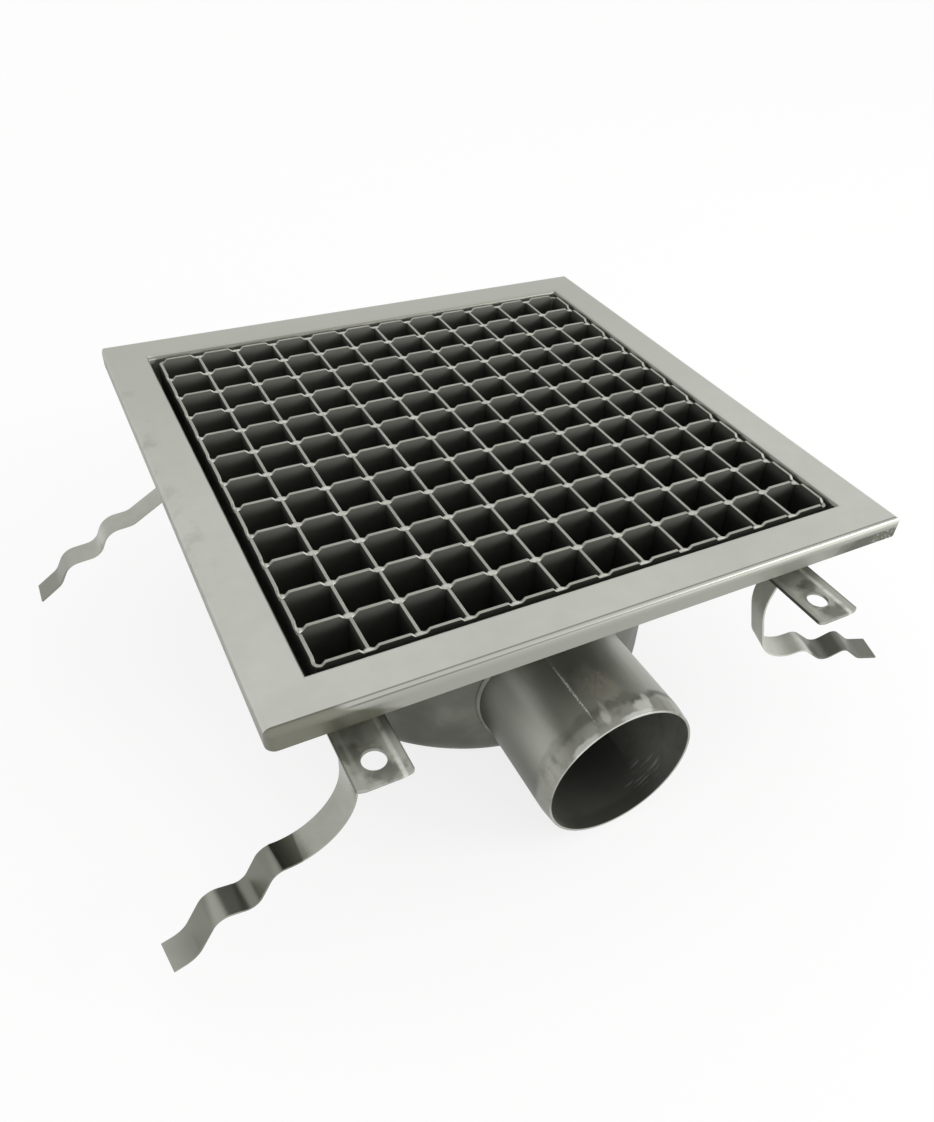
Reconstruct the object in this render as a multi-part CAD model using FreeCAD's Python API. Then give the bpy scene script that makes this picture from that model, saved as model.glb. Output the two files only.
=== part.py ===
import FreeCAD, Part
import math
import os
from FreeCAD import Vector

# Square stainless floor gully with a notched egg-crate grating, a round deep-drawn bowl, a
# horizontal outlet pipe and a removable bell trap. Millimetres, +Z up, the bowl's flat base on
# z = 0 and its axis on the Z axis. The outlet points along -Y.

# Frame: one folded sheet profile on each side, mitred and welded at the corners
frame_side = 303.0
border_width = 21.5
flange_drop = 9.6
frame_sheet = 1.5
flange_bend = 2.0
wall_bend = 1.0
seat_depth = 25.5
ledge_width = 12.0
frame_corner_radius = 4.0

# Grating: upright strips that interlock at half depth. The cross bars and the rim stand a notch
# higher than the bearing bars and drop to their level over each crossing
cells_per_side = 12
grating_gap = 3.25
grating_offset_x = 0.7
grating_offset_y = -0.7
bar_thickness = 1.5
bar_height = 25.0
notch_depth = 1.5
notch_flat = 4.8
notch_slope = 1.6
rim_corner_radius = 3.0

# Tray under the ledges, with a collar drawn down onto the bowl's rim
tray_inset = 2.0
tray_sheet = 1.5
tray_corner_radius = 8.0
collar_height = 11.0
collar_bend = 4.0
collar_land = 8.0

# Bowl
bowl_diameter = 212.0
bowl_sheet = 1.5
bowl_corner = 12.5

# Outlet pipe, its rolled-in mouth and its weld
pipe_diameter = 78.0
pipe_wall = 1.2
pipe_reach = 164.0
pipe_floor_gap = 6.0
mouth_taper = 8.0
mouth_inset = 1.0
mouth_bend = 25.0
weld_leg = 2.2

# Fixing lugs at the front: a shallow trough with a bolt hole near its end
lug_left_inset = 33.5
lug_right_inset = 61.9
lug_left_overhang = 23.4
lug_right_overhang = 27.0
lug_width = 22.0
lug_floor = 14.0
lug_rise = 1.2
lug_sheet = 1.5
lug_bend = 1.5
lug_drop = 16.0
lug_corner_radius = 1.2
lug_hole_diameter = 9.4
lug_left_hole_edge = 11.0
lug_right_hole_edge = 12.6

# Anchors: flat strip bent by hand, the front ones under the lugs, the rear ones on the walls
anchor_width = 13.4
anchor_sheet = 1.0
anchor_tab = 6.0
front_anchor_setback = 0.8
left_anchor_shift = -1.2
left_anchor_yaw = 8.4
right_anchor_shift = 0.9
right_anchor_yaw = -17.4
rear_anchor_inset = 88.9
rear_anchor_drop = 8.0

# Bell trap: seat ring and seal in the bowl, cup with standpipe, bell with a wire handle
seat_ring_drop = 8.0
seat_ring_gap = 3.0
seat_ring_sheet = 2.0
seal_thickness = 2.0
seal_width = 7.0
cup_diameter = 120.0
cup_sheet = 1.5
cup_floor_gap = 10.0
cup_corner = 4.0
cup_lip = 10.0
cup_fit = 1.5
standpipe_diameter = 50.0
standpipe_wall = 1.2
standpipe_tail = 3.0
bell_diameter = 79.0
bell_sheet = 1.2
bell_corner = 5.0
bell_headroom = 12.0
bell_windows = 6
bell_window_width = 22.0
bell_window_height = 12.0
handle_wire = 4.0
handle_span = 36.0
handle_rise = 16.0
handle_bend = 8.0
handle_gap = 5.3

# Levels and half sizes that follow from the values above: the bowl is as deep as the pipe and
# the seat ring need, and the bell's height and its water seal are what is left under the grating
half_frame = frame_side / 2
half_opening = half_frame - border_width
wall_outside = half_opening + frame_sheet
pipe_radius = pipe_diameter / 2
pipe_axis_z = pipe_floor_gap + pipe_radius
seat_ring_top = pipe_axis_z + pipe_radius + seat_ring_gap + seat_ring_sheet
bowl_height = seat_ring_top + seat_ring_drop
tray_top = bowl_height + collar_height
ledge_top = tray_top + frame_sheet
frame_top = ledge_top + seat_depth
bowl_radius = bowl_diameter / 2
bowl_bore = bowl_radius - bowl_sheet
lug_top = frame_top - lug_drop
lug_left_x = lug_left_inset - half_frame
lug_right_x = half_frame - lug_right_inset
grating_side = 2 * (half_opening - grating_gap)
pitch = (grating_side - bar_thickness) / cells_per_side
half_nodes = cells_per_side * pitch / 2
node_height = bar_height - notch_depth
cup_radius = cup_diameter / 2
cup_bottom = bowl_sheet + cup_floor_gap
cup_floor = cup_bottom + cup_sheet
cup_top = seat_ring_top + seal_thickness + cup_sheet
bell_radius = bell_diameter / 2
bell_top = ledge_top - handle_gap - handle_rise
standpipe_radius = standpipe_diameter / 2
standpipe_top = bell_top - bell_sheet - bell_headroom

UP = Vector(0, 0, 1)
CENTRE = Vector(0, 0, 0)
SPARE = 10.0


def unit(start, end):
    """Unit vector in the section plane from one point to the next."""
    length = math.hypot(end[0] - start[0], end[1] - start[1])
    return ((end[0] - start[0]) / length, (end[1] - start[1]) / length)


def shifted(point, direction, distance):
    return (point[0] + direction[0] * distance, point[1] + direction[1] * distance)


def left_of(direction):
    return (-direction[1], direction[0])


def in_section(point):
    """Point of the XZ plane from its two section coordinates."""
    return Vector(point[0], 0, point[1])


def bend_points(before, corner, after, inner_radius, thickness):
    """Start, middle and end of one bend, on the given face and on the face to its left."""
    heading_in = unit(before, corner)
    heading_out = unit(corner, after)
    cross = heading_in[0] * heading_out[1] - heading_in[1] * heading_out[0]
    along = heading_in[0] * heading_out[0] + heading_in[1] * heading_out[1]
    turn = math.atan2(cross, along)
    side = 1.0 if turn > 0 else -1.0
    radius = inner_radius + (thickness if side > 0 else 0.0)
    start = shifted(corner, heading_in, -radius * math.tan(abs(turn) / 2))
    centre = shifted(start, left_of(heading_in), side * radius)
    halfway = unit((0, 0), (heading_in[0] + heading_out[0], heading_in[1] + heading_out[1]))
    normals = [left_of(heading) for heading in (heading_in, halfway, heading_out)]
    given_face = [shifted(centre, normal, -side * radius) for normal in normals]
    left_radius = radius - side * thickness
    left_face = [shifted(centre, normal, -side * left_radius) for normal in normals]
    return given_face, left_face


def face_edges(start, bends, end):
    """Straight runs joined by arcs, from start to end along one face of the sheet."""
    edges = []
    place = start
    for bend in bends:
        first, middle, last = [in_section(point) for point in bend]
        edges.append(Part.LineSegment(in_section(place), first).toShape())
        edges.append(Part.Arc(first, middle, last).toShape())
        place = bend[2]
    edges.append(Part.LineSegment(in_section(place), in_section(end)).toShape())
    return edges


def folded_section(corners, inner_radii, thickness):
    """Section of a folded sheet in the XZ plane.

    The corners run along one face of the sheet, and the sheet lies to the left of that walk.
    Each corner between the two ends has its own radius, measured on the inside of the bend.
    """
    given_bends = []
    left_bends = []
    for index, inner_radius in enumerate(inner_radii, start=1):
        given, left = bend_points(
            corners[index - 1], corners[index], corners[index + 1], inner_radius, thickness
        )
        given_bends.append(given)
        left_bends.append(left)
    left_start = shifted(corners[0], left_of(unit(corners[0], corners[1])), thickness)
    left_end = shifted(corners[-1], left_of(unit(corners[-2], corners[-1])), thickness)
    edges = face_edges(corners[0], given_bends, corners[-1])
    edges.append(Part.LineSegment(in_section(corners[-1]), in_section(left_end)).toShape())
    edges.extend(face_edges(left_start, left_bends, left_end))
    edges.append(Part.LineSegment(in_section(left_start), in_section(corners[0])).toShape())
    return Part.Face(Part.Wire(Part.__sortEdges__(edges)))


def polygon_face(points):
    """Flat face in the XZ plane from its corners."""
    vectors = [in_section(point) for point in points]
    return Part.Face(Part.makePolygon(vectors + vectors[:1]))


def revolved(section):
    return section.revolve(CENTRE, UP, 360)


def ring(outer_radius, inner_radius, bottom, height):
    base = Vector(0, 0, bottom)
    hole = Part.makeCylinder(inner_radius, height, base)
    return Part.makeCylinder(outer_radius, height, base).cut(hole)


def rounded_block(half_side, radius, bottom, height):
    """Square block with rounded upright edges, centred on the Z axis."""
    corner = Vector(-half_side, -half_side, bottom)
    block = Part.makeBox(2 * half_side, 2 * half_side, height, corner)
    upright = [edge for edge in block.Edges if abs(edge.tangentAt(0).z) > 0.5]
    return block.makeFillet(radius, upright)


def quarter_wedge(reach, bottom, height):
    """The quarter of the plan around +X, between the two diagonals."""
    corners = [Vector(0, 0, bottom), Vector(reach, -reach, bottom), Vector(reach, reach, bottom)]
    return Part.Face(Part.makePolygon(corners + corners[:1])).extrude(UP * height)


def turned(shape, angle):
    copy = shape.copy()
    copy.rotate(CENTRE, UP, angle)
    return copy


def four_sides(prefix, right_side):
    """The right-hand piece turned into the other three sides."""
    turns = {"right": 0, "back": 90, "left": 180, "front": 270}
    return {prefix + name: turned(right_side, angle) for name, angle in turns.items()}


def frame_sides():
    """Outer flange, border, inner wall and grating ledge in one folded profile."""
    section = folded_section(
        [
            (half_frame, frame_top - flange_drop),
            (half_frame, frame_top),
            (half_opening, frame_top),
            (half_opening, ledge_top),
            (half_opening - ledge_width, ledge_top),
        ],
        [flange_bend, wall_bend, wall_bend],
        frame_sheet,
    )
    section.translate(Vector(0, -half_frame, 0))
    profile = section.extrude(Vector(0, frame_side, 0))
    bottom = tray_top - SPARE
    height = frame_top - bottom + SPARE
    outline = rounded_block(half_frame, frame_corner_radius, bottom, height)
    mitred = profile.common(quarter_wedge(half_frame + SPARE, bottom, height))
    return four_sides("frame_", mitred.common(outline))


def node_places(first, last):
    """Distances of the crossings from the grating's centre line."""
    return [(index - cells_per_side / 2) * pitch for index in range(first, last + 1)]


def notched_edge(places, start, end):
    """Top edge of a bar: plateaus that drop to a short flat over each crossing."""
    points = [(start, node_height)]
    foot = notch_flat / 2
    shoulder = foot + notch_slope
    for place in places:
        walk = [
            (place - shoulder, bar_height),
            (place - foot, node_height),
            (place + foot, node_height),
            (place + shoulder, bar_height),
        ]
        points.extend(point for point in walk if start < point[0] < end)
    points.append((end, node_height))
    return points


def slotted_edge(places, start, end, level, slot_end):
    """Straight edge of a bar, with a slot as wide as the crossing bar at each place."""
    points = [(start, level)]
    half_slot = bar_thickness / 2
    for place in places:
        points.extend([(place - half_slot, level), (place - half_slot, slot_end)])
        points.extend([(place + half_slot, slot_end), (place + half_slot, level)])
    points.append((end, level))
    return points


def bar_along_x(top, bottom, thickness, centre_y):
    """Upright bar on the grating ledge, its length along X."""
    bar = polygon_face(top + bottom).extrude(Vector(0, thickness, 0))
    bar.translate(Vector(0, centre_y - thickness / 2, ledge_top))
    return bar


def rim_bars():
    """The four outer bars, bent round at the corners and butted there."""
    end = half_nodes + bar_thickness / 2
    ends_and_crossings = node_places(0, cells_per_side)
    top = notched_edge(ends_and_crossings, -end, end)
    plain = bar_along_x(top, [(end, 0), (-end, 0)], 2 * rim_corner_radius, half_nodes)
    height = bar_height + SPARE
    outside = rounded_block(end, rim_corner_radius, ledge_top, height)
    inner_radius = rim_corner_radius - bar_thickness
    inside = rounded_block(end - bar_thickness, inner_radius, ledge_top, height)
    wedge = turned(quarter_wedge(half_frame, ledge_top, height), 90)
    bar = plain.common(outside.cut(inside)).common(wedge)
    return four_sides("grating_rim_", turned(bar, -90))


def inner_bars():
    """Low bearing bars along Y, slotted from above, and notched cross bars slotted from below."""
    bars = {}
    end = half_nodes - bar_thickness / 2
    crossings = node_places(1, cells_per_side - 1)
    half_level = node_height / 2
    notched_top = notched_edge(node_places(0, cells_per_side), -end, end)
    slotted_bottom = slotted_edge(crossings, -end, end, 0, half_level)[::-1]
    slotted_top = slotted_edge(crossings, -end, end, node_height, half_level)
    plain_bottom = [(end, 0), (-end, 0)]
    for number, place in enumerate(crossings, start=1):
        cross_bar = bar_along_x(notched_top, slotted_bottom, bar_thickness, place)
        bars[f"grating_cross_bar_{number:02d}"] = cross_bar
        bearing_bar = turned(bar_along_x(slotted_top, plain_bottom, bar_thickness, -place), 90)
        bars[f"grating_bearing_bar_{number:02d}"] = bearing_bar
    return bars


def grating():
    bars = rim_bars()
    bars.update(inner_bars())
    for bar in bars.values():
        bar.translate(Vector(grating_offset_x, grating_offset_y, 0))
    return bars


def tray():
    """Flat plate with a round hole, drawn down into a collar the size of the bowl."""
    seam_radius = bowl_bore + collar_land
    plate_bottom = tray_top - tray_sheet
    plate = rounded_block(half_opening - tray_inset, tray_corner_radius, plate_bottom, tray_sheet)
    plate = plate.cut(Part.makeCylinder(seam_radius, tray_sheet, Vector(0, 0, plate_bottom)))
    section = folded_section(
        [(seam_radius, tray_top), (bowl_bore, tray_top), (bowl_bore, bowl_height)],
        [collar_bend],
        tray_sheet,
    )
    return plate.fuse(revolved(section)).removeSplitter()


def dish(radius, bottom, corner):
    """Solid drum with a rounded bottom edge, open height above the bowl's rim cut flat."""
    drum = Part.makeCylinder(radius, bowl_height - bottom, Vector(0, 0, bottom))
    base_edges = [edge for edge in drum.Edges if edge.CenterOfMass.z < bottom + 0.01]
    return drum.makeFillet(corner, base_edges)


def bowl_outside():
    return dish(bowl_radius, 0.0, bowl_corner + bowl_sheet)


def bowl_inside():
    return dish(bowl_bore, bowl_sheet, bowl_corner)


def pipe_bar(radius):
    """Solid bar on the outlet's axis, from the bowl's axis out past the mouth."""
    start = Vector(0, 0, pipe_axis_z)
    return Part.makeCylinder(radius, pipe_reach + SPARE, start, Vector(0, -1, 0))


def bowl():
    return bowl_outside().cut(bowl_inside()).cut(pipe_bar(pipe_radius))


def outlet_pipe():
    """Tube ending flush inside the bowl, its mouth rolled in a little and cut off square."""
    narrowing = mouth_inset / mouth_taper
    section = folded_section(
        [
            (pipe_radius, 0),
            (pipe_radius, pipe_reach - mouth_taper),
            (pipe_radius - mouth_inset - narrowing * pipe_wall, pipe_reach + pipe_wall),
        ],
        [mouth_bend],
        pipe_wall,
    )
    tube = revolved(section).common(Part.makeCylinder(pipe_radius, pipe_reach))
    tube.rotate(CENTRE, Vector(1, 0, 0), 90)
    tube.translate(Vector(0, 0, pipe_axis_z))
    return tube.cut(bowl_inside())


def outlet_weld():
    """Flat bead in the corner between the bowl's wall and the pipe."""
    joined = bowl_outside().fuse(pipe_bar(pipe_radius))
    seam = []
    for edge in joined.Edges:
        middle = edge.valueAt((edge.FirstParameter + edge.LastParameter) / 2)
        from_axis = math.hypot(middle.x, middle.z - pipe_axis_z)
        end_face = middle.y < -pipe_reach
        if abs(from_axis - pipe_radius) < 0.01 and not end_face and edge.Length > SPARE:
            lengthwise = abs(edge.tangentAt(edge.FirstParameter).y) > 0.999
            if not lengthwise:
                seam.append(edge)
    return joined.makeChamfer(weld_leg, seam).cut(joined)


def lug(centre_x, overhang, hole_edge):
    """Trough with raised sides from the frame's wall out past the border, with a bolt hole."""
    end_y = -(half_frame + overhang)
    half_floor = lug_floor / 2
    half_width = lug_width / 2
    section = folded_section(
        [
            (half_width, lug_top + lug_rise),
            (half_floor, lug_top),
            (-half_floor, lug_top),
            (-half_width, lug_top + lug_rise),
        ],
        [lug_bend, lug_bend],
        lug_sheet,
    )
    section.translate(Vector(0, end_y, 0))
    length = -wall_outside - end_y
    trough = section.extrude(Vector(0, length, 0))
    bottom = lug_top - SPARE
    height = 2 * SPARE
    plan = Part.makeBox(lug_width, length, height, Vector(-half_width, end_y, bottom))
    corners = [
        edge
        for edge in plan.Edges
        if abs(edge.tangentAt(0).z) > 0.5 and edge.CenterOfMass.y < end_y + 0.01
    ]
    plan = plan.makeFillet(lug_corner_radius, corners)
    hole_place = Vector(0, end_y + hole_edge, bottom)
    hole = Part.makeCylinder(lug_hole_diameter / 2, height, hole_place)
    shape = trough.common(plan).cut(hole)
    shape.translate(Vector(centre_x, 0, 0))
    return shape


def strip(bends):
    """Flat strip from bends given as (out, down, inner radius) from the root to the tip.

    The strip's width lies along +Y from y = 0, and +X is the way it reaches out.
    """
    corners = [(out, -down) for out, down, radius in reversed(bends)]
    radii = [radius for out, down, radius in reversed(bends)][1:-1]
    return folded_section(corners, radii, anchor_sheet).extrude(Vector(0, anchor_width, 0))


def front_anchor(bends, root_x, yaw, mirrored):
    """Hangs from the underside of a lug, turned a little about the upright axis."""
    shape = strip(bends)
    if mirrored:
        shape = shape.mirror(CENTRE, Vector(1, 0, 0))
    shape.rotate(CENTRE, UP, yaw)
    root_y = -(wall_outside + front_anchor_setback + anchor_width * math.cos(math.radians(yaw)))
    root_z = lug_top - lug_sheet - anchor_sheet
    shape.translate(Vector(root_x, root_y, root_z))
    return shape


def rear_anchor():
    """Runs down the right-hand wall of the frame and then out in two waves."""
    bends = [
        (0, 0, 0),
        (0, 26.5, 8),
        (30.2, 45.2, 9),
        (43.2, 46.4, 10),
        (49.1, 59.3, 8),
        (65.1, 60.9, 9),
        (70.9, 71.7, 9),
        (81.8, 79.5, 0),
    ]
    shape = strip(bends)
    near_edge = half_frame - rear_anchor_inset - anchor_width / 2
    shape.translate(Vector(wall_outside + anchor_sheet, near_edge, frame_top - rear_anchor_drop))
    return shape


def anchors():
    left_bends = [
        (anchor_tab, 0, 0),
        (0, 0, 3),
        (0, 73.0, 25.5),
        (36.7, 61.3, 6),
        (45.9, 76.9, 5),
        (61.3, 70.9, 6),
        (72.4, 88.3, 9),
        (81.3, 89.0, 0),
    ]
    right_bends = [
        (anchor_tab, 0, 0),
        (0, 0, 3),
        (-4.6, 21.0, 34),
        (5.0, 58.7, 14),
        (25.0, 50.6, 5),
        (37.4, 60.0, 6),
        (48.1, 52.7, 3.5),
        (57.7, 60.8, 6),
        (67.8, 61.6, 0),
    ]
    left_root = lug_left_x + left_anchor_shift
    right_root = lug_right_x + right_anchor_shift
    rear = rear_anchor()
    return {
        "anchor_front_left": front_anchor(left_bends, left_root, left_anchor_yaw, True),
        "anchor_front_right": front_anchor(right_bends, right_root, right_anchor_yaw, False),
        "anchor_back_right": rear,
        "anchor_back_left": rear.mirror(CENTRE, Vector(1, 0, 0)),
    }


def trap_cup():
    """Bucket with a flat lip that rests on the seal, and a hole for the standpipe."""
    lip_radius = cup_radius + cup_lip
    cup_bore = cup_radius - cup_sheet
    section = folded_section(
        [
            (lip_radius, cup_top),
            (cup_bore, cup_top),
            (cup_bore, cup_floor),
            (standpipe_radius, cup_floor),
        ],
        [cup_sheet, cup_corner],
        cup_sheet,
    )
    return revolved(section)


def trap_bell():
    """Inverted cup over the standpipe, with windows round its foot for the water."""
    section = folded_section(
        [(bell_radius, cup_floor), (bell_radius, bell_top), (0, bell_top)],
        [bell_corner],
        bell_sheet,
    )
    shell = revolved(section)
    depth = 2 * SPARE
    window = Part.makeBox(
        depth,
        bell_window_width,
        bell_window_height,
        Vector(bell_radius - depth / 2, -bell_window_width / 2, cup_floor),
    )
    windows = [turned(window, index * 360 / bell_windows) for index in range(bell_windows)]
    return shell.cut(windows)


def bell_handle():
    """Round wire bent into a square loop that stands on the bell."""
    reach = handle_span / 2
    crown = bell_top + handle_rise - handle_wire / 2
    points = bend_points(
        (-reach, bell_top), (-reach, crown), (reach, crown), handle_bend, 0
    )[0]
    left_foot = in_section((-reach, bell_top))
    left_arc = [in_section(point) for point in points]
    right_arc = [Vector(-point.x, 0, point.z) for point in left_arc]
    right_foot = in_section((reach, bell_top))
    path = Part.Wire(
        [
            Part.LineSegment(left_foot, left_arc[0]).toShape(),
            Part.Arc(*left_arc).toShape(),
            Part.LineSegment(left_arc[2], right_arc[2]).toShape(),
            Part.Arc(right_arc[2], right_arc[1], right_arc[0]).toShape(),
            Part.LineSegment(right_arc[0], right_foot).toShape(),
        ]
    )
    circle = Part.Wire(Part.makeCircle(handle_wire / 2, left_foot, UP))
    return path.makePipeShell([circle], True, False)


def bell_trap():
    seal_inner = cup_radius + cup_fit
    standpipe_bottom = cup_bottom - standpipe_tail
    return {
        "trap_seat_ring": ring(bowl_bore, seal_inner, seat_ring_top - seat_ring_sheet, seat_ring_sheet),
        "trap_seal": ring(seal_inner + seal_width, seal_inner, seat_ring_top, seal_thickness),
        "trap_cup": trap_cup(),
        "trap_standpipe": ring(
            standpipe_radius,
            standpipe_radius - standpipe_wall,
            standpipe_bottom,
            standpipe_top - standpipe_bottom,
        ),
        "trap_bell": trap_bell(),
        "bell_handle": bell_handle(),
    }


def all_pieces():
    pieces = frame_sides()
    pieces.update(grating())
    pieces["tray"] = tray()
    pieces["bowl"] = bowl()
    pieces["outlet_pipe"] = outlet_pipe()
    pieces["outlet_weld"] = outlet_weld()
    pieces["lug_left"] = lug(lug_left_x, lug_left_overhang, lug_left_hole_edge)
    pieces["lug_right"] = lug(lug_right_x, lug_right_overhang, lug_right_hole_edge)
    pieces.update(anchors())
    pieces.update(bell_trap())
    return pieces


def export(pieces):
    """Writes one solid to one file for each piece."""
    os.makedirs("parts", exist_ok=True)
    for name, shape in pieces.items():
        solids = shape.Solids
        if len(solids) != 1 or not solids[0].isValid():
            raise ValueError(f"{name} is {len(solids)} solids")
        solids[0].exportStep(f"parts/{name}.step")
    print(len(pieces), "pieces")


export(all_pieces())
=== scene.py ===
# %% [markdown]
# A square floor gully in stainless steel, dressed for a studio picture. The solid model gives
# every size. This lesson adds what a camera sees from a step away: eased edges, weld metal at the
# crossings of the grating and round the pipe, and one steel finish for each way the sheet was made.

# %% Load the frame and note its size
import math

import bmesh
import bpy
import numpy as np
from mathutils import Matrix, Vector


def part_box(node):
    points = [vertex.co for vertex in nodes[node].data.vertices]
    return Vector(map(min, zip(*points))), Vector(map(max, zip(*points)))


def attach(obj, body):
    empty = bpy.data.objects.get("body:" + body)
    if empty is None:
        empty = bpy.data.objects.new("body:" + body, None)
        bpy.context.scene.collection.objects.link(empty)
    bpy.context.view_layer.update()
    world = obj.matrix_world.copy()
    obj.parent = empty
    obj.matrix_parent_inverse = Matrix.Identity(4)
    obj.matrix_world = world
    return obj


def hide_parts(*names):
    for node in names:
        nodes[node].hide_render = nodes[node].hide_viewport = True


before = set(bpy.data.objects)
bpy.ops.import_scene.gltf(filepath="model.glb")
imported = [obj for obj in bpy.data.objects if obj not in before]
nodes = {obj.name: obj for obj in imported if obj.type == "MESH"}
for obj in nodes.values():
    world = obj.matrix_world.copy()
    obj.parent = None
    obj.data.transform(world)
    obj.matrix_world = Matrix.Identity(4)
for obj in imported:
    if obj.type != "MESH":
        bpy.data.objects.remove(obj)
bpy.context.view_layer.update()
mm = 0.001

# %% [markdown]
# The picture was taken with a wide lens close to the near corner, from front left and above. A
# camera could be turned by eye until the edges fit. Here its place and its three directions were
# measured on the frame's straight edges, which meet in three vanishing points, so that every edge
# fits at once. Blender's camera looks along its own -Z with +Y up, so the last two directions
# change sign. The small sideways shift says that the picture was cropped.

# %% Place the camera
camera_place = np.array([-188.741, -353.689, 376.664]) * mm
right = np.array([0.8806445122, -0.4698023878, 0.0612450769])
down = np.array([-0.2579550493, -0.5838858172, -0.7697639541])
forward = np.array([0.3973970755, 0.6620899251, -0.6353837388])
picture_width = 934
picture_height = 1122
focal_pixels = 908.684
centre_pixel_x = 496.055


def placed(x_direction, y_direction, z_direction, place):
    """The matrix whose columns are an object's own three directions and its place."""
    matrix = np.eye(4)
    matrix[:3] = np.stack([x_direction, y_direction, z_direction, place], axis=-1)
    return Matrix(matrix.tolist())


camera_data = bpy.data.cameras.new("camera")
camera = bpy.data.objects.new("camera", camera_data)
bpy.context.scene.collection.objects.link(camera)
camera.matrix_world = placed(right, -down, -forward, camera_place)
camera_data.sensor_width = 36.0
camera_data.lens = focal_pixels / picture_height * camera_data.sensor_width
camera_data.shift_x = (picture_width / 2 - centre_pixel_x) / picture_height
camera_data.clip_start = 0.01
bpy.context.scene.camera = camera
print("lens, mm:", round(camera_data.lens, 2))

# %% [markdown]
# A finish can be clicked together in the shader editor. In a script it stays short with four small
# helpers. One turns a colour as a painter writes it into the linear light that a shader wants, one
# puts a node into a material with its settings and links, one starts a material, and one puts a
# finished material on a piece.

# %% Colour, node and material helpers
def linear(code):
    """Each channel c of the written colour becomes ((c + 0.055) / 1.055) to the power 2.4."""
    parts = np.array([int(code[i:i + 2], 16) for i in (1, 3, 5)]) / 255
    low = parts / 12.92
    high = ((parts + 0.055) / 1.055) ** 2.4
    return (*np.where(parts > 0.04045, high, low), 1.0)


def add(tree, kind, settings=(), links=()):
    """One node: a setting or link is named by its socket, by the socket's place, or by property."""
    node = tree.nodes.new("ShaderNode" + kind)
    for key, value in dict(settings).items():
        if isinstance(key, int) or key in node.inputs:
            node.inputs[key].default_value = value
        else:
            setattr(node, key, value)
    for key, source in dict(links).items():
        tree.links.new(source, node.inputs[key])
    return node


def start_material(name):
    material = bpy.data.materials.new(name)
    material.use_nodes = True
    return material, material.node_tree, material.node_tree.nodes["Principled BSDF"]


def dress(piece, material):
    """Every slot of the piece gets this material; a piece with none gets one slot."""
    if not piece.material_slots:
        piece.data.materials.append(material)
    for slot in piece.material_slots:
        slot.link = "OBJECT"
        slot.material = material


print("middle grey #808080 in linear light:", round(linear("#808080")[0], 3))

# %% [markdown]
# Stainless sheet looks soft because its surface is full of fine scratches. Cold rolling leaves
# long faint lines, a drum or a blast leaves a grain, and handling leaves clouds of slightly
# different gloss. All the steels below share that recipe: a cloud of two close colours, lines
# that are stretched noise, a fine grain, and a bump from both. Only sizes and colours differ. A
# photograph of steel could be laid on, but noise has no edge, and its scale is a real size. The real
# grain is under 0.1 mm: it is drawn at 0.4 mm or more, or it would not show. Steel is metallic all
# over and keeps the default index. The weld metal is the plainest case, with nothing laid over it.

# %% The recipe for a steel surface
streak_share = 0.45
dark_level = 0.45
gloss_swing = 0.05
bump_strength = 0.25


def object_place(tree):
    return add(tree, "TexCoord").outputs["Object"]


def steel(name, light, dark, line_size, grain_mm, cloud_mm, rough, line_depth, bump_mm=0.05):
    """Stretched noise, fine noise and clouds; line_size is the streak's length along x, y, z."""
    material, tree, shader = start_material(name)
    coords = object_place(tree)
    stretch = [1 / (length * mm) for length in line_size]
    mapped = add(tree, "Mapping", {"Scale": stretch}, {"Vector": coords}).outputs[0]
    lines = add(tree, "TexNoise", {"Scale": 1.0, "Detail": 3.0, "Roughness": 0.6}, {"Vector": mapped})
    grain_size = {"Scale": 1 / (grain_mm * mm), "Detail": 2.0}
    grain = add(tree, "TexNoise", grain_size, {"Vector": coords})
    cloud_size = {"Scale": 1 / (cloud_mm * mm), "Detail": 4.0, "Roughness": 0.55}
    clouds = add(tree, "TexNoise", cloud_size, {"Vector": coords})
    streaked = {"operation": "MULTIPLY_ADD", 1: streak_share}
    mixed = add(tree, "Math", streaked, {0: lines.outputs[0], 2: clouds.outputs[0]}).outputs[0]
    ramp = add(tree, "ValToRGB", {}, {"Fac": mixed})
    ramp.color_ramp.elements[0].position = dark_level
    ramp.color_ramp.elements[0].color = linear(dark)
    ramp.color_ramp.elements[1].position = 1.0
    ramp.color_ramp.elements[1].color = linear(light)
    gloss_range = {"To Min": rough - gloss_swing, "To Max": rough + gloss_swing}
    gloss = add(tree, "MapRange", gloss_range, {"Value": mixed}).outputs[0]
    lined = {"operation": "MULTIPLY_ADD", 1: line_depth}
    height = add(tree, "Math", lined, {0: lines.outputs[0], 2: grain.outputs[0]}).outputs[0]
    bump_size = {"Strength": bump_strength, "Distance": bump_mm * mm}
    bump = add(tree, "Bump", bump_size, {"Height": height})
    shader.inputs["Metallic"].default_value = 1.0
    tree.links.new(ramp.outputs[0], shader.inputs["Base Color"])
    tree.links.new(gloss, shader.inputs["Roughness"])
    tree.links.new(bump.outputs[0], shader.inputs["Normal"])
    return material


weld_metal = steel(
    "outlet_weld_metal", "#85867d", "#65665d",
    line_size=(1.5, 1.5, 1.5), grain_mm=0.6, cloud_mm=9, rough=0.42, line_depth=1.0,
)
print("a plain steel has", len(weld_metal.node_tree.nodes), "nodes")

# %% [markdown]
# Real fabricated steel is never one even grey. Each darker, brighter or rubbed place is laid over
# the plain steel as a stain: a mask between 0 and 1, with a colour and a roughness of its own.
# Painting such masks by hand would need an image. Here a mask is a product of smooth steps, and a
# step goes from 0 at one place to 1 at another, so it is written in the part's own millimetres.

# %% Masks and stains
def object_axes(tree):
    """The point's three numbers, called X, Y and Z."""
    return add(tree, "SeparateXYZ", {}, {0: object_place(tree)}).outputs


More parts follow.
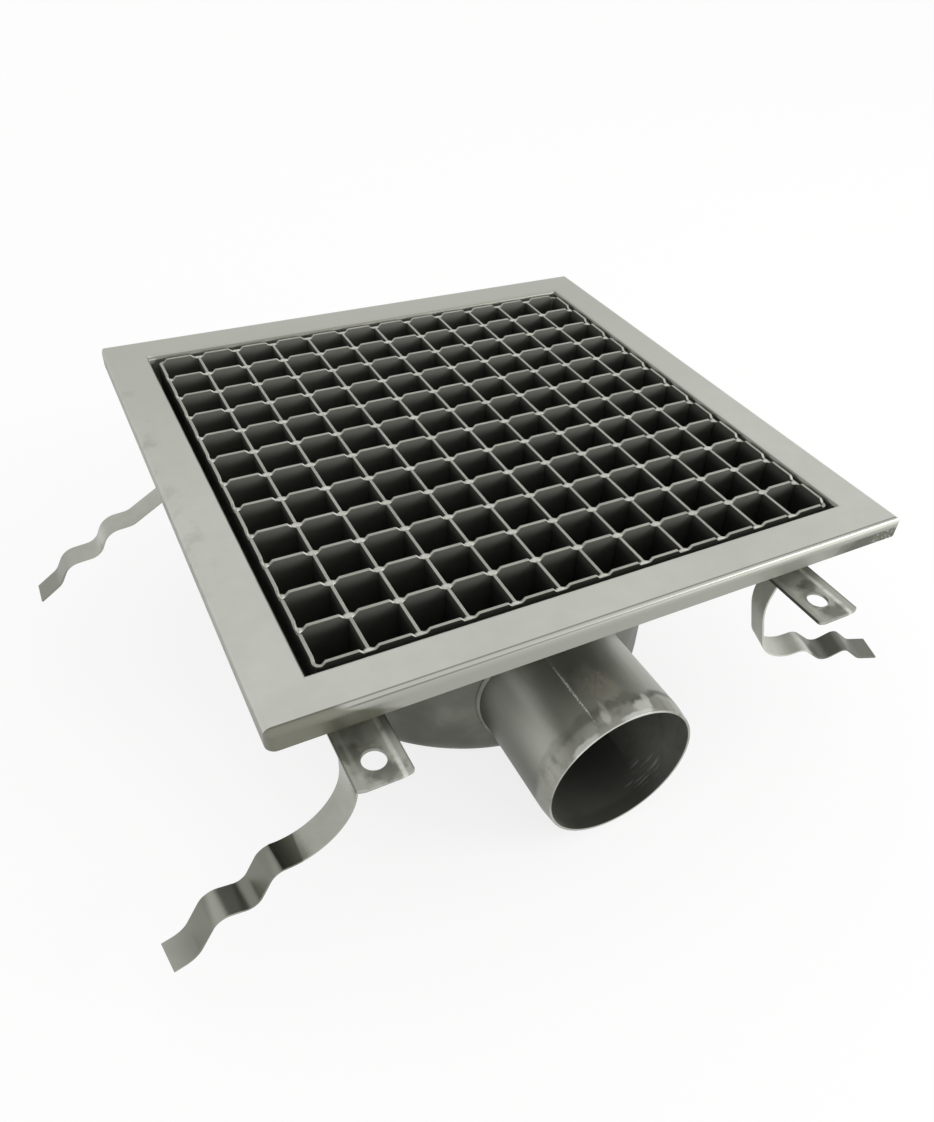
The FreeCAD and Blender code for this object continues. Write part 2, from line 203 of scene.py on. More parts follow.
def mask(*steps):
    """The product of its steps: each is a value, where it gives 0 and where 1, or a ready mask.
    A socket knows its tree as id_data, so no step has to name it."""
    product = None
    for step in steps:
        if isinstance(step, tuple):
            value, zero_at, one_at = step
            smooth = {"interpolation_type": "SMOOTHSTEP", "From Min": zero_at, "From Max": one_at}
            step = add(value.id_data, "MapRange", smooth, {"Value": value}).outputs[0]
        if product is None:
            product = step
        else:
            both = {0: product, 1: step}
            product = add(step.id_data, "Math", {"operation": "MULTIPLY"}, both).outputs[0]
    return product


def stain(material, amount, colour, rough, share=1.0):
    """Lay a colour and a roughness over what the material has so far, where the mask is 1."""
    tree = material.node_tree
    shader = tree.nodes["Principled BSDF"]
    cover = add(tree, "Math", {"operation": "MULTIPLY", 1: share}, {0: amount}).outputs[0]
    colour_below = shader.inputs["Base Color"].links[0].from_socket
    tint = add(tree, "Mix", {"data_type": "RGBA", 7: linear(colour)}, {0: cover, 6: colour_below})
    tree.links.new(tint.outputs[2], shader.inputs["Base Color"])
    gloss_below = shader.inputs["Roughness"].links[0].from_socket
    gloss = add(tree, "Mix", {"data_type": "FLOAT", 3: rough}, {0: cover, 2: gloss_below})
    tree.links.new(gloss.outputs[0], shader.inputs["Roughness"])


print("a smooth step, a quarter of the way:", round(3 * 0.25 ** 2 - 2 * 0.25 ** 3, 3))

# %% [markdown]
# The frame is cold-rolled sheet that was blasted after it was welded, so the mitres don't show. A fine
# blast grain gives an even satin grey with no direction, and it grows a little darker towards the back. The
# turned-down flange is painted darker than the top, as painted shade on a face that turns away from the
# sky. A second material could be put on the flange's faces, but then its border would be sharp. A mask by
# height and by distance from the middle lets the one tone run into the other on the fold.

# %% Frame sheet
frame_low, frame_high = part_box("frame_front")
frame_top = frame_high[2]
frame_face = frame_low[1]
frame_half = frame_high[0]
border = 21.5 * mm
frame_steel = steel(
    "blasted_frame_sheet", "#cbccc4", "#bebfb7",
    line_size=(9, 9, 9), grain_mm=0.4, cloud_mm=75, rough=0.36, line_depth=0.6, bump_mm=0.03,
)
frame_tree = frame_steel.node_tree
frame_xyz = object_axes(frame_tree)
to_back = mask((frame_xyz["Y"], -70 * mm, 150 * mm))
stain(frame_steel, to_back, "#b2b3aa", 0.38, 0.75)

off_x = add(frame_tree, "Math", {"operation": "ABSOLUTE"}, {0: frame_xyz["X"]}).outputs[0]
off_y = add(frame_tree, "Math", {"operation": "ABSOLUTE"}, {0: frame_xyz["Y"]}).outputs[0]
from_middle = add(frame_tree, "Math", {"operation": "MAXIMUM"}, {0: off_x, 1: off_y}).outputs[0]
flange_mask = mask(
    (frame_xyz["Z"], frame_top - 1.6 * mm, frame_top - 3.6 * mm),
    (from_middle, frame_half - border / 2, frame_half - border / 3),
)
# Painted shade: the turned-down flange is darker than the top.
stain(frame_steel, flange_mask, "#a7a8a0", 0.5)
print("frame sheet, mm:", round(frame_half / mm * 2), "wide")

# %% [markdown]
# Faint darker patches lie on the left border, towards its outer edge. They could be drawn one by one. Noise
# that is cut off between two levels gives patches with a ragged edge, and two steps keep them on the left
# border, away from the near corner.

# %% Darker patches on the left border
def patches(tree, size_mm, detail, zero_at, one_at, roughness=0.5):
    """Ragged patches: noise with a grain of some millimetres, cut off between two levels."""
    grain = {"Scale": 1 / (size_mm * mm), "Detail": detail, "Roughness": roughness}
    noise = add(tree, "TexNoise", grain, {"Vector": object_place(tree)}).outputs[0]
    return mask((noise, zero_at, one_at))


smudges = mask(
    patches(frame_tree, 17, 5.0, 0.5, 0.68, roughness=0.65),
    (frame_xyz["X"], -frame_half + border / 2, -frame_half + 3 * mm),
    (frame_xyz["Y"], -90 * mm, -50 * mm),
)
stain(frame_steel, smudges, "#9b9c93", 0.4, 0.45)
print("frame sheet so far:", len(frame_tree.nodes), "nodes")

# %% [markdown]
# Welding leaves straw, brown and grey heat tint. On this frame it lies on the flange at the two
# front corners, with pale specks at the right one. A soft spot is the distance from a centre,
# divided by a radius along each axis and made ragged with noise. A ready gradient texture would
# give the same ball, but not the ragged edge, which is what makes it look like heat.

# %% Heat tint on the flange
def soft_spot(tree, centre_mm, radius_mm, ragged, ragged_mm, coords=None):
    """1 inside half the radius, 0 outside it, with an edge that noise moves in and out."""
    coords = coords or object_place(tree)
    spot_frame = {
        "vector_type": "TEXTURE",
        "Location": [c * mm for c in centre_mm],
        "Scale": [r * mm for r in radius_mm],
    }
    local = add(tree, "Mapping", spot_frame, {"Vector": coords}).outputs[0]
    distance = add(tree, "VectorMath", {"operation": "LENGTH"}, {0: local}).outputs["Value"]
    noise_size = {"Scale": 1 / (ragged_mm * mm), "Detail": 3.0}
    noise = add(tree, "TexNoise", noise_size, {"Vector": coords}).outputs[0]
    push = add(tree, "Math", {"operation": "MULTIPLY_ADD", 1: ragged}, {0: noise, 2: distance})
    return mask((push.outputs[0], 1.0 + ragged / 2, 0.5 + ragged / 2))


half_mm = frame_half / mm
face_mm = frame_face / mm
flange_mid = frame_top / mm - 7
for spot_centre, spot_radius, spot_colour, spot_share in (
    ((-half_mm + 8, face_mm, flange_mid), (44, 6, 22), "#97978c", 0.95),
    ((-half_mm + 12, face_mm, flange_mid - 3), (16, 6, 7), "#65655b", 0.5),
    ((half_mm - 6, face_mm, flange_mid - 1), (42, 6, 20), "#5f6056", 0.92),
    ((-half_mm, face_mm + 6, flange_mid), (5, 18, 9), "#8b8b80", 0.8),
):
    heat = soft_spot(frame_tree, spot_centre, spot_radius, ragged=0.5, ragged_mm=8)
    stain(frame_steel, mask(heat, flange_mask), spot_colour, 0.42, spot_share)

dark_heat = mask(
    patches(frame_tree, 7, 4.0, 0.48, 0.62),
    (frame_xyz["X"], -112 * mm, -128 * mm),
    flange_mask,
)
stain(frame_steel, dark_heat, "#59594f", 0.42, 0.3)
speck_centre = (half_mm - 6, face_mm, flange_mid)
speck_field = soft_spot(frame_tree, speck_centre, (13, 4, 7), ragged=0.4, ragged_mm=4)
specks = mask(patches(frame_tree, 1.1, 1.0, 0.55, 0.66), speck_field)
stain(frame_steel, specks, "#c2c3ba", 0.4, 0.8)
print("frame sheet so far:", len(frame_tree.nodes), "nodes")

# %% [markdown]
# A sheet that is folded shows its fold as fine lines. A band of lower roughness lets the lamp draw a bright
# line along it. A painted dark line on each side stands for a dark edge that the fold mirrors; this painted
# reflection keeps the bright line narrow. A wider darker band on the fold's lower half runs into the
# flange's painted shade. The lines could be thin strips of mesh, but they have no height, so they are masks
# too. The angle round the fold's axis, 0 at the top and a quarter turn at the flange, says where each line
# is.

# %% Angle round the front fold
fold_radius = 3.5 * mm
behind_axis = {"operation": "SUBTRACT", 0: frame_face + fold_radius}
over_axis = {"operation": "SUBTRACT", 1: frame_top - fold_radius}
fold_across = add(frame_tree, "Math", behind_axis, {1: frame_xyz["Y"]}).outputs[0]
fold_up = add(frame_tree, "Math", over_axis, {0: frame_xyz["Z"]}).outputs[0]
fold_turn = add(frame_tree, "Math", {"operation": "ARCTAN2"}, {0: fold_across, 1: fold_up}).outputs[0]


def fold_band(middle_degrees, half_degrees):
    """1 along the fold at an angle, fading to 0 over a few degrees on both sides."""
    middle = math.radians(middle_degrees)
    half = math.radians(half_degrees)
    rising = (fold_turn, middle - 1.6 * half, middle - 0.6 * half)
    falling = (fold_turn, middle + 1.6 * half, middle + 0.6 * half)
    return mask(rising, falling)


print("front fold, mm:", round(fold_radius / mm, 1), "radius")

# %% [markdown]
# Near the left corner the heat tint covers the fold, and its border runs slanted down the flange.
# A step on x plus a share of the depth gives that slant. On one side of it lie the bright line and its two
# painted dark lines. On the other side the fold is stained as a whole, with one painted dark line under the
# top face.

# %% Lines along the front fold
slant_share = 2.5
stain_edge = -125 * mm
stain_blend = 3 * mm
slant = {"operation": "MULTIPLY_ADD", 1: slant_share}
below_top = add(frame_tree, "Math", {"operation": "SUBTRACT", 1: frame_top}, {0: frame_xyz["Z"]}).outputs[0]
slanted = add(frame_tree, "Math", slant, {0: below_top, 2: frame_xyz["X"]}).outputs[0]
clean_stretch = mask((slanted, stain_edge - stain_blend, stain_edge + stain_blend))
# Rows: a wide darker band into the flange's painted shade, the band of low roughness for the lamp's line,
# and two painted dark lines that stand for mirrored dark edges.
for middle_degrees, half_degrees, tone, rough, share in (
    (68, 24, "#a9aaa2", 0.48, 1.0),
    (31, 11, "#bcbdb5", 0.27, 1.0),
    (14, 5, "#85867d", 0.42, 0.9),
    (47, 5, "#7c7d74", 0.42, 0.9),
):
    line = mask(fold_band(middle_degrees, half_degrees), clean_stretch)
    stain(frame_steel, line, tone, rough, share)

stained_stretch = mask((slanted, stain_edge + stain_blend, stain_edge - stain_blend))
whole_fold = mask((fold_turn, math.radians(5), math.radians(14)), stained_stretch)
stain(frame_steel, whole_fold, "#7c7c70", 0.42, 0.92)
# Painted dark line under the top face, as in the clean stretch.
dark_line = mask(fold_band(14, 5), stained_stretch)
stain(frame_steel, dark_line, "#626258", 0.42, 0.7)
print("frame sheet so far:", len(frame_tree.nodes), "nodes")

# %% [markdown]
# The wall that goes down inside the opening carries a painted highlight under a darker line, and the back
# left corner has a small painted glint. The painted highlight stops 8 mm below the top, so that the ledge
# at the foot of the wall keeps the sheet's own tone.

# %% Wall inside the opening
inner_side = (from_middle, frame_half - border / 2, frame_half - border / 1.5)
# Painted highlight on the wall inside the opening.
wall_shine = mask(
    (frame_xyz["Z"], frame_top - 1.9 * mm, frame_top - 2.3 * mm),
    (frame_xyz["Z"], frame_top - 8 * mm, frame_top - 5 * mm),
    inner_side,
)
stain(frame_steel, wall_shine, "#e9e9e3", 0.34)
# Painted glint in the back left corner.
corner_mm = half_mm - border / mm
glint_centre = (-corner_mm, corner_mm, frame_top / mm - 2)
glint = soft_spot(frame_tree, glint_centre, (3.5, 3.5, 3.5), ragged=0.4, ragged_mm=2)
stain(frame_steel, glint, "#fafaf6", 0.5)
wall_line = mask(
    (frame_xyz["Z"], frame_top - 1.9 * mm, frame_top - 1.5 * mm),
    (frame_xyz["Z"], frame_top - 0.5 * mm, frame_top - 0.9 * mm),
    inner_side,
)
stain(frame_steel, wall_line, "#84857c", 0.4, 0.9)
print("frame sheet:", len(frame_tree.nodes), "nodes in all")

# %% [markdown]
# The grating is slit strip, pickled in acid. Its top edges keep the strip's own tone, so they are the
# brightest part. The faces are dull, and they are painted darker on the way down as painted shade deep in
# the cells. The notches of the cross bars were punched, and the slope that faces right carries a painted
# highlight. Each edge could be given its own material by hand on 26 bars. The way a surface faces tells an
# edge from a face without that. So one function makes four finishes: lit and shaded copies of one strip,
# which differ only in how light or dark their faces are painted. The web metal at the crossings was
# squeezed out by the press, and it is drawn paler than the strip.

# %% Grating strip and webs
grating_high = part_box("grating_rim_front")[1][2]


def grating_strip(name, thickness_axis, face_light, face_dark):
    """Sides told by the way the surface faces; painted shade lower down, painted highlight on right slopes.
    """
    material = steel(
        name, "#b9b9b0", "#9d9e95",
        line_size=(3, 3, 3), grain_mm=0.4, cloud_mm=30, rough=0.5, line_depth=0.8,
    )
    tree = material.node_tree
    normal = add(tree, "NewGeometry").outputs["Normal"]
    facing = add(tree, "SeparateXYZ", {}, {0: normal}).outputs
    depth = object_axes(tree)["Z"]
    sideways = add(tree, "Math", {"operation": "ABSOLUTE"}, {0: facing[thickness_axis]}).outputs[0]
    side = mask((sideways, 0.45, 0.65))
    stain(material, side, face_light, 0.6)
    # Painted shade: the faces grow darker deeper in the cells.
    low_side = mask(side, (depth, grating_high - 1.0 * mm, grating_high - 8 * mm))
    stain(material, low_side, face_dark, 0.62)
    # Painted highlight on the notch slopes that face right and up.
    cut_slope = mask((facing["X"], 0.3, 0.5), (facing["Z"], 0.3, 0.5))
    stain(material, cut_slope, "#f4f4ef", 0.5)
    return material


# Lit and shaded copies of one strip: the faces of the bearing bars and of the front and left rims carry
# painted shade.
strip = grating_strip("lit_pickled_cross_strip", "Y", "#acada4", "#66675f")
bearing_strip = grating_strip("shaded_pickled_bearing_strip", "X", "#7a7b73", "#4c4d47")
front_rim_strip = grating_strip("shaded_front_rim_strip", "Y", "#5c5d56", "#3e3f3a")
left_rim_strip = grating_strip("shaded_left_rim_strip", "X", "#5c5d56", "#3e3f3a")
web_metal = steel(
    "pressed_web_metal", "#dadad2", "#b9b9b0",
    line_size=(2, 2, 2), grain_mm=0.6, cloud_mm=6, rough=0.42, line_depth=1.0,
)
print("grating strip, mm:", round(grating_high / mm, 1), "is its top")

# %% [markdown]
# The bowl is deep-drawn and pickled: dull, with a greenish cast and cloudy patches. Its dark tone is partly
# painted shade, for a bowl that stands under the frame. It grows a little darker towards its base. One
# coarse cloud, cut off at a high and at a low level, gives dark and pale patches that hardly touch, where
# two clouds of their own would lie on each other.

# %% Bowl sheet
# The bowl's dark tone is partly painted shade under the frame.
bowl_steel = steel(
    "deep_drawn_bowl_sheet", "#7d7e76", "#5b5c54",
    line_size=(16, 16, 16), grain_mm=0.5, cloud_mm=24, rough=0.46, line_depth=0.8,
)
bowl_tree = bowl_steel.node_tree
to_base = mask((object_axes(bowl_tree)["Z"], 62 * mm, 4 * mm))
stain(bowl_steel, to_base, "#595a52", 0.46, 0.6)
stain(bowl_steel, patches(bowl_tree, 24, 4.0, 0.42, 0.7), "#4f5048", 0.5, 0.6)
stain(bowl_steel, patches(bowl_tree, 24, 4.0, 0.5, 0.28), "#8f9087", 0.42, 0.35)
print("bowl sheet:", len(bowl_tree.nodes), "nodes")

# %% [markdown]
# The pipe is rolled and seam-welded tube. Rolling draws fine lines along it. A pattern for a tube
# usually takes a UV map, but a loose solid has none. So the place is unrolled by sums: the angle
# from the top times the radius goes across, and the distance along the tube stays. Every pattern
# of the pipe lies in that flat map, and its sizes stay in millimetres.

# %% Pipe tube, unrolled
pipe_low, pipe_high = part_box("outlet_pipe")
pipe_radius = (pipe_high[0] - pipe_low[0]) / 2
pipe_z = (pipe_high[2] + pipe_low[2]) / 2
mouth_y = pipe_low[1]
tube_steel = steel(
    "rolled_tube", "#a3a49c", "#8a8b83",
    line_size=(4, 60, 4), grain_mm=0.4, cloud_mm=30, rough=0.34, line_depth=1.0,
)
tube_tree = tube_steel.node_tree
tube_xyz = object_axes(tube_tree)
over_pipe = {"operation": "SUBTRACT", 1: pipe_z}
above_axis = add(tube_tree, "Math", over_pipe, {0: tube_xyz["Z"]}).outputs[0]
clock = add(tube_tree, "Math", {"operation": "ARCTAN2"}, {0: tube_xyz["X"], 1: above_axis}).outputs[0]
around = add(tube_tree, "Math", {"operation": "MULTIPLY", 1: pipe_radius}, {0: clock}).outputs[0]
unrolled = add(tube_tree, "CombineXYZ", {}, {"X": around, "Y": tube_xyz["Y"]}).outputs[0]


def tube_noise(across_mm, along_mm, detail=2.0):
    """Noise in the unrolled map with a grain of its own size each way."""
    stretch = {"Scale": (1 / (across_mm * mm), 1 / (along_mm * mm), 1.0)}
    place = add(tube_tree, "Mapping", stretch, {"Vector": unrolled}).outputs[0]
    return add(tube_tree, "TexNoise", {"Scale": 1.0, "Detail": detail}, {"Vector": place}).outputs[0]


def tube_spot(clock_degrees, from_mouth_mm, half_across_mm, half_along_mm, ragged, ragged_mm):
    """A soft spot in the unrolled map, at an angle from the top and a distance from the mouth."""
    across_mm = math.radians(clock_degrees) * pipe_radius / mm
    centre = (across_mm, mouth_y / mm + from_mouth_mm, 0)
    return soft_spot(tube_tree, centre, (half_across_mm, half_along_mm, 1), ragged, ragged_mm, unrolled)


def sector(zero_degrees, one_degrees):
    """A step by the angle from the top, which grows to the right as the camera sees the mouth."""
    return clock, math.radians(zero_degrees), math.radians(one_degrees)


print("pipe, mm:", round(pipe_radius * 2 / mm, 1), "across")

# %% [markdown]
# The pipe's tones are laid round it by the angle from the top. Its top and its right flank get painted
# light, and its left flank and underneath get painted shade. The sky is even, so light alone doesn't do
# that, and a gradient texture would run straight down. Steps by the angle from the top follow the tube.
# Streaks and blotches break up the painted light on top, or it would look like one painted stripe.

# %% Painted light and shade round the pipe
# Painted shade on the left flank and underneath, painted light on the right flank and on top.
stain(tube_steel, mask(sector(-44, -62)), "#787971", 0.4)
stain(tube_steel, mask(sector(-70, -115)), "#595a52", 0.42)
stain(tube_steel, mask(sector(22, 30)), "#a6a79e", 0.38)
on_top = mask(sector(-58, -40), sector(34, 18))
stain(tube_steel, on_top, "#cacbc2", 0.45, 0.8)
streaks = mask((tube_noise(3.2, 80), 0.48, 0.7), on_top)
stain(tube_steel, streaks, "#c6c6bd", 0.5, 0.6)
blotches = mask((tube_noise(9, 16, 3.0), 0.5, 0.72), on_top)
stain(tube_steel, blotches, "#cbcbc2", 0.55, 0.5)
print("tube so far:", len(tube_tree.nodes), "nodes")

# %% [markdown]
# The mouth was heated when it was rolled in, and the tint ends in a wavy dark edge some 15 mm from
# the end. The wave is the distance from the mouth plus a little noise, cut off between two places.
# A drawn curve would give the same edge, but it would need points of its own.

# %% Heat tint at the mouth
wavy = {"operation": "MULTIPLY_ADD", 1: 10 * mm}
past_mouth = {"operation": "SUBTRACT", 1: mouth_y}
from_mouth = add(tube_tree, "Math", past_mouth, {0: tube_xyz["Y"]}).outputs[0]
wavy_mouth = add(tube_tree, "Math", wavy, {0: tube_noise(16, 12), 2: from_mouth}).outputs[0]
# Painted reflection: a paler stretch on the left flank near the mouth.
left_bright = mask(sector(-32, -46), sector(-88, -58), (from_mouth, 50 * mm, 10 * mm))
stain(tube_steel, left_bright, "#b4b5ac", 0.36, 0.85)
tinted = mask((wavy_mouth, 17 * mm, 13 * mm))
stain(tube_steel, tinted, "#b2b2a9", 0.42, 0.5)
tint_edge = mask((wavy_mouth, 18.5 * mm, 15.5 * mm), (wavy_mouth, 12 * mm, 14.5 * mm))
stain(tube_steel, tint_edge, "#77776d", 0.4, 0.3)
stain(tube_steel, mask(tint_edge, sector(16, 26)), "#5d5e56", 0.4, 0.8)
mouth_dark = mask(tinted, (tube_noise(6, 9, 4.0), 0.45, 0.75))
stain(tube_steel, mouth_dark, "#6f6f65", 0.36, 0.6)
print("tube so far:", len(tube_tree.nodes), "nodes")

# %% [markdown]
# A row of bright dots marks the welded seam and a rubbed place lies beside it. A few spots and arcs at the
# mouth are painted highlights. They are soft spots in the unrolled map, because there a spot can be long
# and thin without bending round the tube.

# %% Seam, rubbed place and painted highlights at the mouth
rubbed_field = tube_spot(
    clock_degrees=-5, from_mouth_mm=20, half_across_mm=8, half_along_mm=13, ragged=0.8, ragged_mm=2
)
rubbed = mask(rubbed_field, (tube_noise(1.6, 2.4, 3.0), 0.35, 0.6))
stain(tube_steel, rubbed, "#cfc7b6", 0.6, 0.65)
seam_line = tube_spot(
    clock_degrees=-23.5, from_mouth_mm=26, half_across_mm=0.75, half_along_mm=23, ragged=0.5, ragged_mm=2
)
seam_dots = mask(seam_line, (tube_noise(0.9, 0.7, 1.0), 0.38, 0.56))
stain(tube_steel, seam_dots, "#f6f6f0", 0.7)
# Painted highlights: spots near the mouth and two arcs on its rim.
for angle, distance, half_across, half_along, tone in (
    (-16, 6, 2.4, 5.0, "#e0e0d9"),
    (-14, 10, 1.4, 6.0, "#ccccc4"),
    (11, 4, 6.0, 4.5, "#eeeee8"),
    (16, 7, 2.5, 5.0, "#e8e8e1"),
    (-38, 0.8, 10.0, 2.4, "#f0f0ec"),
    (5, 0.8, 11.0, 2.2, "#f8f8f4"),
):
    polished = tube_spot(angle, distance, half_across, half_along, ragged=0.7, ragged_mm=4)
    stain(tube_steel, polished, tone, 0.6, 0.8)
print("tube so far:", len(tube_tree.nodes), "nodes")

# %% [markdown]
# Inside, the tube is as it left the mill and duller. Above and below the axis it is painted darker, as
# painted shade in the bore, and a few bright scratches lie where something was pushed in. The inner wall
# can't be told by its distance from the axis, because the mouth is rolled in. It is told by its normal,
# which points at the axis. The thin end face, whose normal points along the axis, is painted pale to match
# the painted light on the tube round it.

# %% Inside of the pipe
flat_place = add(tube_tree, "CombineXYZ", {}, {"X": tube_xyz["X"], "Z": above_axis}).outputs[0]
outward = add(tube_tree, "VectorMath", {"operation": "NORMALIZE"}, {0: flat_place}).outputs[0]
tube_normal = add(tube_tree, "NewGeometry").outputs["Normal"]
dot = {"operation": "DOT_PRODUCT"}
facing_out = add(tube_tree, "VectorMath", dot, {0: tube_normal, 1: outward}).outputs["Value"]
end_face = mask((facing_out, 0.5, 0.2), (facing_out, -0.5, -0.2))
# Painted light on the end face, at the top and below the axis.
filed_top = mask(end_face, sector(-60, -40), sector(40, 20))
stain(tube_steel, filed_top, "#d2d2ca", 0.5, 0.8)
filed_foot = mask(end_face, (above_axis, 0, -10 * mm))
stain(tube_steel, filed_foot, "#c4c4bc", 0.5, 0.7)

inner_wall = mask((facing_out, -0.3, -0.5))
stain(tube_steel, inner_wall, "#b2b3ab", 0.62)
# Painted shade in the bore above the axis.
inner_high = mask(inner_wall, (above_axis, 0.1 * pipe_radius, 0.8 * pipe_radius))
stain(tube_steel, inner_high, "#53544d", 0.62, 0.8)
inner_patches = mask(inner_wall, (tube_noise(7, 5, 4.0), 0.45, 0.7))
stain(tube_steel, inner_patches, "#9b9c95", 0.58, 0.5)
# Painted shade in the bore below the axis.
inner_low = mask(inner_wall, (above_axis, -0.3 * pipe_radius, -0.9 * pipe_radius))
stain(tube_steel, inner_low, "#62635c", 0.6, 0.85)
scratch_field = tube_spot(
    clock_degrees=134, from_mouth_mm=12, half_across_mm=15, half_along_mm=9, ragged=0.5, ragged_mm=5
)
scratches = mask((tube_noise(9, 0.7, 0.0), 0.6, 0.7), scratch_field, inner_wall)
stain(tube_steel, scratches, "#dcdcd6", 0.6, 0.65)
print("tube:", len(tube_tree.nodes), "nodes in all")

# %% [markdown]
# Three of the anchors are bright-rolled strip, bent by hand, so their flats mirror what stands round them
# and turn from dark to light at each bend. The front left one is painted darker along its lower flats, as
# painted shade where they mirror the shadowed floor. A darker flat stands before them and a paler one among
# them, and the far tip of the anchor behind it is darker too. Each flat could have a material of its own.
# But the strips run sideways, so two places along x mark a stretch, and one material does for all three.

# %% Bright strip for three anchors
bent_steel = steel(
    "hand_bent_strip", "#b2b3aa", "#9fa097",
    line_size=(7, 7, 7), grain_mm=0.5, cloud_mm=26, rough=0.25, line_depth=0.8, bump_mm=0.03,
)
bent_tree = bent_steel.node_tree
bent_xyz = object_axes(bent_tree)
# Painted shade on the front left anchor's lower flats, with a darker and a paler flat.
front_left = (bent_xyz["Y"], -110 * mm, -130 * mm)
for right_zero, right_one, left_zero, left_one, tone, rough, share in (
    (-152, -157, -206, -186, "#7b7c73", 0.38, 0.9),
    (-143.2, -144.2, -157, -151, "#6b6c62", 0.36, 0.85),
    (-169, -172, -183, -180, "#a5a69d", 0.42, 0.85),
):
    right_end = (bent_xyz["X"], right_zero * mm, right_one * mm)
    left_end = (bent_xyz["X"], left_zero * mm, left_one * mm)
    stain(bent_steel, mask(right_end, left_end, front_left), tone, rough, share)
behind_left = (bent_xyz["Y"], -110 * mm, -90 * mm)
far_tip = mask((bent_xyz["X"], -196 * mm, -201 * mm), behind_left)
stain(bent_steel, far_tip, "#86877e", 0.34, 0.85)
print("bright strip:", len(bent_tree.nodes), "nodes")

# %% [markdown]
# The front right anchor was brushed, and the dust of the brushing stuck to it. Dust is not metal: it takes
# light from all sides, so these flats stay pale. A layer of dust could be a shader of its own on top. A
# lower metallic share gives the same dull light with one number. The anchor's end is darker. The leg under
# the frame is painted darker, as painted shadow of the lug above it.

# %% Brushed strip for one anchor
dusty = 0.4
brushed_steel = steel(
    "brushed_bent_strip", "#d3d4cb", "#bbbcb3",
    line_size=(1.2, 1.2, 24), grain_mm=0.5, cloud_mm=26, rough=0.5, line_depth=1.6, bump_mm=0.04,
)
brushed_tree = brushed_steel.node_tree
brushed_tree.nodes["Principled BSDF"].inputs["Metallic"].default_value = dusty
brushed_x = object_axes(brushed_tree)["X"]
stain(brushed_steel, mask((brushed_x, 117 * mm, 121 * mm)), "#66675e", 0.4, 0.95)
# Painted shadow of the lug on the leg under the frame.
stain(brushed_steel, mask((brushed_x, 88 * mm, 84 * mm)), "#a3a49b", 0.44, 0.8)
print("brushed strip:", len(brushed_tree.nodes), "nodes")

# %% [markdown]
# The lugs are pressed strip: a flat floor between two folded wings. The wings are painted a little darker,
# as painted shade. A painted highlight runs along each inner fold, strongest along the right one and broken
# in places. A painted dark line along each outer edge is painted shade, and the punch left sooty blots
# round each hole. Both lugs share one material, because a mask by the distance from each lug's middle keeps
# their marks apart, and a lug that moves in the solid model takes its marks along.

# %% Strip for the lugs
lug_steel = steel(
    "pressed_lug_strip", "#bdbeb5", "#9a9b92",
    line_size=(4, 12, 4), grain_mm=0.5, cloud_mm=9, rough=0.44, line_depth=1.0,
)
lug_tree = lug_steel.node_tree
lug_x = object_axes(lug_tree)["X"]
fold_offset = 7.4 * mm
worn = patches(lug_tree, 5, 3.0, 0.2, 0.55)
for lug_name, blots in (
    ("lug_left", ((-1.5, 11, 10, 12, "#7b7c73"), (-7, 17, 6, 7, "#66675f"), (2, 4, 9, 6, "#5b5c55"))),
    ("lug_right", ((-1, 15, 7, 11, "#66675e"), (3, 22, 6, 5, "#5b5c54"), (1, 4, 9, 6, "#53544c"))),
):
    lug_low, lug_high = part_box(lug_name)
    lug_middle = (lug_low[0] + lug_high[0]) / 2
    to_side = add(lug_tree, "Math", {"operation": "SUBTRACT", 1: lug_middle}, {0: lug_x}).outputs[0]
    off_middle = add(lug_tree, "Math", {"operation": "ABSOLUTE"}, {0: to_side}).outputs[0]
    this_lug = (off_middle, 14 * mm, 12 * mm)
    # Painted shade on the folded wings.
    wing = mask((off_middle, fold_offset, fold_offset + 0.8 * mm), this_lug)
    stain(lug_steel, wing, "#adaea5", 0.44, 0.9)
    for blot_x, blot_from_end, blot_across, blot_along, blot_colour in blots:
        blot_centre = (lug_middle / mm + blot_x, lug_low[1] / mm + blot_from_end, lug_high[2] / mm)
        blot = soft_spot(lug_tree, blot_centre, (blot_across, blot_along, 4), ragged=0.9, ragged_mm=3.5)
        stain(lug_steel, blot, blot_colour, 0.42, 0.65)
    # Painted highlight along the inner folds, strongest on the right, with gaps.
    bright_fold = mask(
        (off_middle, fold_offset - 1.5 * mm, fold_offset - 0.3 * mm),
        (off_middle, fold_offset + 1.3 * mm, fold_offset + 0.2 * mm),
    )
    stain(lug_steel, bright_fold, "#bcbdb4", 0.5, 0.35)
    right_fold = mask(bright_fold, (to_side, 0, 1 * mm), worn)
    stain(lug_steel, right_fold, "#e6e7df", 0.5, 0.8)
    # Painted shade along the outer edges.
    edge_dark = mask((off_middle, 10.2 * mm, 10.9 * mm), this_lug)
    stain(lug_steel, edge_dark, "#55564f", 0.4, 0.7)
print("lug strip:", len(lug_tree.nodes), "nodes")

# %% [markdown]
# The seal is extruded rubber: black, dull, with a faint bloom that old rubber sweats out. A single
# black would do for a hidden ring, but a slow cloud between two blacks is just as short.

# %% Rubber
rubber, rubber_tree, rubber_shader = start_material("black_seal_rubber")
rubber_coords = object_place(rubber_tree)
rubber_bloom = add(rubber_tree, "TexNoise", {"Scale": 1 / (6 * mm)}, {"Vector": rubber_coords})
rubber_ramp = add(rubber_tree, "ValToRGB", {}, {"Fac": rubber_bloom.outputs[0]})
rubber_ramp.color_ramp.elements[0].color = linear("#131313")
rubber_ramp.color_ramp.elements[1].color = linear("#2a2a29")
rubber_tree.links.new(rubber_ramp.outputs[0], rubber_shader.inputs["Base Color"])
rubber_shader.inputs["Roughness"].default_value = 0.6
print("rubber:", len(rubber_tree.nodes), "nodes")

